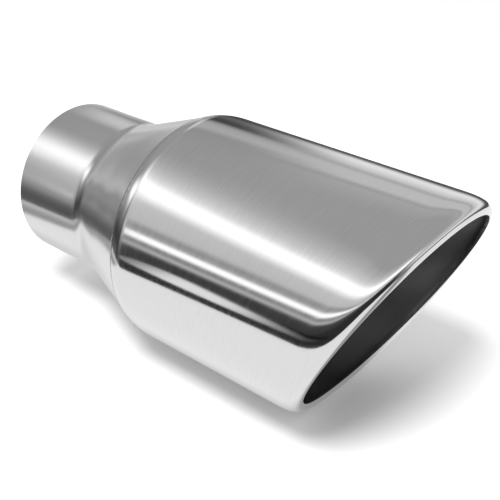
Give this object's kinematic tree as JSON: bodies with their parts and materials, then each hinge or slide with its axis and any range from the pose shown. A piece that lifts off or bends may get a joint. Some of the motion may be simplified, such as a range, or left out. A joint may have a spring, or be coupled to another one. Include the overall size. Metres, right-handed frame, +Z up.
{
  "type": "exhaust tip",
  "caption": "Slip-on tailpipe tip: a straight inlet neck flares into a larger round shell, and its slant-cut outlet has an edge turned inward.",
  "frame": {"origin": "centre of the inlet's open end, on the axis of the tip", "axes": "+X along the axis, from the inlet to the outlet; +Z up, the side where the slant-cut outlet is longest; +Y sideways, to the left when looking along +X"},
  "size_m": [0.1864, 0.0934, 0.0935],
  "materials": {
    "neck_polished": "stainless sheet, mirror polished",
    "weld_polished": "stainless weld bead, ground and polished",
    "shell_polished": "stainless sheet, mirror polished outside and satin inside"
  },
  "bodies": {
    "root": {"inlet_neck": "neck_polished", "seam_weld": "weld_polished", "outer_shell": "shell_polished"}
  },
  "joints": []
}
